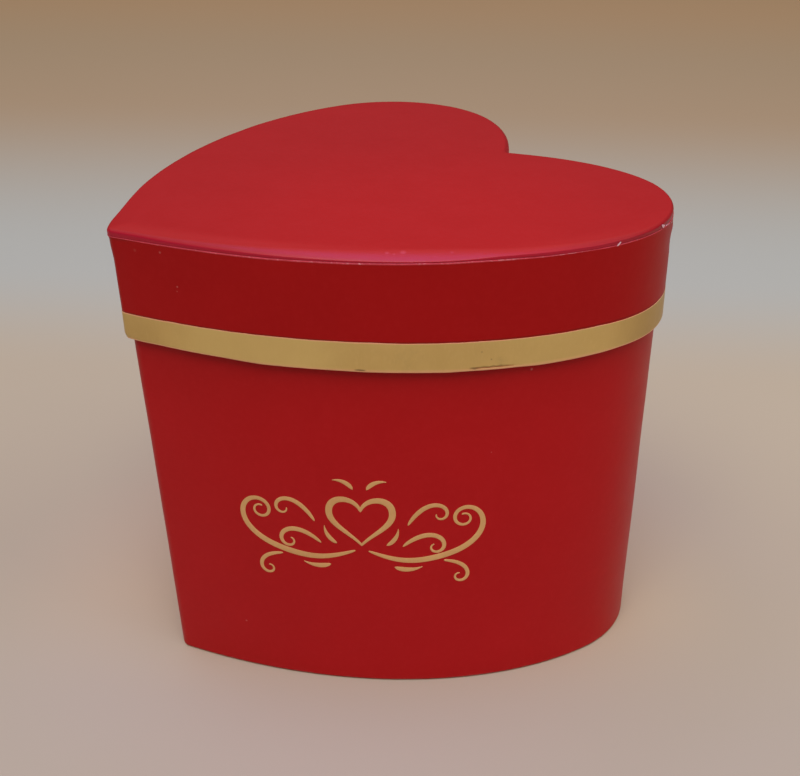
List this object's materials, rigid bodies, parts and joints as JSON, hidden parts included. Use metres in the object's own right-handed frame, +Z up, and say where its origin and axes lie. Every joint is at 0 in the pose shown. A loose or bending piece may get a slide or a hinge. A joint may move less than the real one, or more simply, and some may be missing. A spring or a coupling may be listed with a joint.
{
  "type": "valentine heart box",
  "caption": "Heart-shaped gift box of paper-covered board with a padded lift-off lid, a deep skirt, a gold foil band and a foil scroll ornament on one side.",
  "frame": {"origin": "middle of the closed box's footprint, on the surface it stands on", "axes": "+Z up; -Y towards the point of the heart and +Y towards its cleft; +X across the lobes, towards the side that carries the ornament"},
  "size_m": [0.1852, 0.1774, 0.17],
  "materials": {
    "greyboard": "matte",
    "gummed_tape": "matte",
    "base_paper": "matte",
    "red_body_paper": "satin",
    "red_skirt_paper": "satin",
    "red_satin_paper": "satin",
    "lining_paper": "matte",
    "padding": "matte",
    "gold_foil": "satin",
    "ornament_foil": "satin"
  },
  "bodies": {
    "base": {"wall_board_right": "greyboard", "wall_board_left": "greyboard", "point_stay_tape": "gummed_tape", "cleft_stay_tape": "gummed_tape", "floor_board": "greyboard", "base_cover_sheet": "base_paper", "body_wrap": "red_body_paper", "wall_lining": "lining_paper", "floor_lining": "lining_paper", "foil_ornament": "ornament_foil"},
    "lid": {"lid_top_board": "greyboard", "lid_top_pad": "padding", "lid_top_paper": "red_satin_paper", "lid_skirt_board_right": "greyboard", "lid_skirt_board_left": "greyboard", "lid_point_stay_tape": "gummed_tape", "lid_cleft_stay_tape": "gummed_tape", "lid_skirt_wrap": "red_skirt_paper", "gold_band": "gold_foil", "lid_top_lining": "lining_paper", "lid_skirt_lining": "lining_paper"}
  },
  "joints": [
    {"name": "lid_lift", "type": "slide", "parent": "base", "child": "lid", "axis": [0, 0, 1], "range_m": [0, 0.1]}
  ]
}
